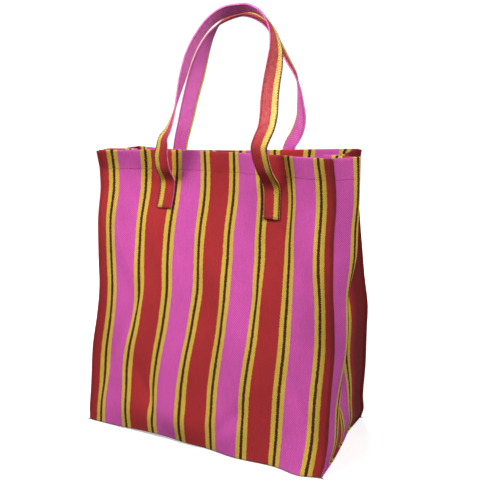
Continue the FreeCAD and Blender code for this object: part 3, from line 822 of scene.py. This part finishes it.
def strap_outline():
    """The strap's section: across and outward places round it, from its magenta edge over the red
    side and back under it. Both sides sink a little at the rows of stitches."""
    half, thick = STRAP_WIDTH / 2, STRAP_THICK / 2
    flat = np.append(half - 1, np.linspace(half - 1.3, 1 - half, 20))
    dip = 0.28 * bump(abs(flat), STRAP_ROW, 0.9)
    turn = np.linspace(np.pi / 2, -np.pi / 2, 7)[1:-1]
    outer = np.stack([flat, thick - dip], axis=-1)
    far_edge = np.stack([1 - half - np.cos(turn), thick * np.sin(turn)], axis=-1)
    inner = np.stack([-flat, dip - thick], axis=-1)
    near_edge = np.stack([half - 1 + np.cos(turn), -thick * np.sin(turn)], axis=-1)
    return np.roll(np.concatenate([outer, far_edge, inner, near_edge]), 2, axis=0)


# How much painted highlight pales the free part of each strap.
STRAP_PAINTED_HIGHLIGHT = {"front": 1, "back": 0.6}


def strap_piece(face):
    """The strap as a closed tube of its section, with flat ends."""
    reach = STRAP_LINE[face][-1, 0]
    at = np.linspace(0, reach, int(reach / 3.5))
    middle, edge, out = (part[:, None] for part in strap_frames(face, at))
    outline = strap_outline()
    swell = 1 + 0.02 * np.sin(at / 23)[:, None, None] + 0.015 * np.sin(at / 9.1)[:, None, None]
    points = middle + edge * outline[None, :, :1] * swell + out * outline[None, :, 1:]
    round_it = np.linalg.norm(np.diff(outline, axis=0, append=outline[:1]), axis=-1)
    lengths = np.concatenate([[0], np.cumsum(round_it)])
    lengths = lengths * STRAP_CUT[-1][0] / lengths[-1]
    cut = np.interp(lengths, *np.transpose(STRAP_CUT))
    rows, columns = points.shape[:2]
    numbers = np.arange(rows * columns).reshape(rows, columns)
    following = np.roll(numbers, -1, axis=1)
    quads = np.stack([numbers[:-1], following[:-1], following[1:], numbers[1:]], axis=-1).reshape(-1, 4)
    mesh = bpy.data.meshes.new(f"{face}_strap")
    faces = quads.tolist() + [numbers[0, ::-1].tolist(), numbers[-1].tolist()]
    mesh.from_pydata((points.reshape(-1, 3) * MM).tolist(), [], faces)
    wide = np.stack([np.broadcast_to(cut[:-1], (rows, columns)), np.broadcast_to(cut[1:], (rows, columns))])
    tall = np.broadcast_to(at[:, None], (rows, columns))
    uv = np.stack([np.stack([wide[0][:-1], tall[:-1]], -1), np.stack([wide[1][:-1], tall[:-1]], -1),
                   np.stack([wide[1][1:], tall[1:]], -1), np.stack([wide[0][1:], tall[1:]], -1)], axis=2)
    ends = np.stack([cut[:-1], np.zeros(columns)], axis=-1)
    flat_uv = np.concatenate([uv.reshape(-1, 2), ends, ends])
    layer = mesh.uv_layers.new(name="cloth")
    layer.data.foreach_set("uv", flat_uv.astype(np.float32).reshape(-1))
    mesh.polygons.foreach_set("use_smooth", np.ones(len(mesh.polygons), bool))
    piece = bpy.data.objects.new(f"{face}_strap", mesh)
    scene.collection.objects.link(piece)
    edges = bump(abs(outline[:, 0]), STRAP_WIDTH / 2, 0.8)
    # Painted highlight: the strap's free part, from about 385 mm up, is paler. Its two edges are worn.
    free_share = STRAP_PAINTED_HIGHLIGHT[face] * smoothstep(385, 440, middle[:, 0, 2])
    set_wear_and_painted_light(piece, rub=np.maximum(edges[None], free_share[:, None]))
    return piece


# A strap's sewn ends sit flat on the face. It bends over a short height above them into its free line.
STRAP_LINE = {}
strap_canvas = cloth_material("strap canvas", 0.9, 0.24, 0.8, 1.0)
for face in SIGN:
    STRAP_LINE[face] = strap_line(face)
    piece = strap_piece(face)
    piece.data.materials.append(strap_canvas)
    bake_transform(piece)
    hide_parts(f"{face}_handle", f"{face}_handle_end_left", f"{face}_handle_end_right")

# =============================================================================================
# Handle stitches: a row along each edge of each strap, on both sides, and a box of stitches that
# holds each sewn end to the bag.
# =============================================================================================


def strap_row(face, at, across, side):
    """Points and normals of a row on a strap. side is 1 for its outer side and -1 for its inner."""
    middle, edge, out = strap_frames(face, at)
    lift = side * (STRAP_THICK / 2 - 0.22)
    return middle + edge * np.asarray(across)[..., None] + out * lift, out * side


for face in SIGN:
    reach = STRAP_LINE[face][-1, 0]
    at = np.linspace(EDGE_ROWS_FROM_END, reach - EDGE_ROWS_FROM_END, 300)
    rows = [strap_row(face, at, np.full(len(at), across), side)
            for across in (-STRAP_ROW, STRAP_ROW) for side in (-1, 1)]
    piece = stitch_piece(f"edge_stitches_{face}_handle", rows)
    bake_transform(piece)
    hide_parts(f"edge_thread_{face}_handle")
    for side, side_name in ((-1, "left"), (1, "right")):
        sewn = SEWN_HIGH - SEWN_LOW[side]
        low, high = (3, sewn - 3) if side < 0 else (reach - 3, reach - sewn + 3)
        legs = np.linspace(low, high, 14)
        rungs = np.linspace(-STRAP_ROW, STRAP_ROW, 8)
        rows = [strap_row(face, legs, np.full(14, across), 1) for across in (-STRAP_ROW, STRAP_ROW)]
        rows += [strap_row(face, np.full(8, level), rungs, 1) for level in (low, high)]
        rows = [(points + normals * 0.12, normals) for points, normals in rows]
        piece = stitch_piece(f"box_stitches_{face}_{side_name}", rows)
        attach(piece, face)
        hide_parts(f"box_thread_{face}_{side_name}")

# =============================================================================================
# Floor and light: a white floor whose glow rises away from the bag, an even white surround, and
# three round lamps: a key from the front left, a fill from the front right and one from behind.
# =============================================================================================
FLOOR_REACH = 6
FLOOR_LEVEL = -0.0004
floor_mesh = bpy.data.meshes.new("floor")
corners = [(x * FLOOR_REACH, y * FLOOR_REACH, FLOOR_LEVEL) for x, y in ((-1, -1), (1, -1), (1, 1), (-1, 1))]
floor_mesh.from_pydata(corners, [], [(0, 1, 2, 3)])
floor = bpy.data.objects.new("floor", floor_mesh)
scene.collection.objects.link(floor)
floor_material, floor_nodes, floor_shader = new_material("white floor", 0.8, 0.0)
floor_shader.inputs["Base Color"].default_value = (0.9, 0.9, 0.9, 1)
floor_shader.inputs["Emission Strength"].default_value = 1.0
floor_place = floor_nodes.add("ShaderNodeTexCoord").outputs["Object"]
distance = floor_nodes.add("ShaderNodeVectorMath", {0: floor_place}, operation="LENGTH").outputs["Value"]
glow = floor_nodes.remap(distance, 0.2, 0.9, 0.45, 1.05)
floor_glow = floor_nodes.add("ShaderNodeCombineColor", {0: glow, 1: glow, 2: glow}).outputs[0]
floor_material.node_tree.links.new(floor_glow, floor_shader.inputs["Emission Color"])
floor.visible_diffuse = False
floor_mesh.materials.append(floor_material)

scene.view_settings.view_transform = "Standard"
world = bpy.data.worlds.new("surround")
scene.world = world
world.use_nodes = True
surround = world.node_tree.nodes["Background"]
surround.inputs["Color"].default_value = (1, 1, 1, 1)
sky = Nodes(world.node_tree)
seen = sky.add("ShaderNodeLightPath").outputs["Is Camera Ray"]
world.node_tree.links.new(sky.remap(seen, 0.0, 1.0, 0.12, 1.05), surround.inputs["Strength"])

# name, place, aimed at, size, power in watts
LAMPS = (("key", (-0.6, -0.75, 1.0), (0, 0, 0.36), 0.75, 16),
         ("fill", (1.1, -0.55, 1.0), (0, 0, 0.35), 0.5, 15),
         ("back", (-0.7, 1.2, 0.9), (0, 0, 0.3), 0.8, 14))
for name, place, aim, size, power in LAMPS:
    lamp = bpy.data.lights.new(name, "AREA")
    lamp.shape = "DISK"
    lamp.size = size
    lamp.energy = power
    lamp_object = bpy.data.objects.new(name, lamp)
    lamp_object.location = place
    lamp_object.rotation_euler = (Vector(place) - Vector(aim)).to_track_quat("Z", "Y").to_euler()
    scene.collection.objects.link(lamp_object)
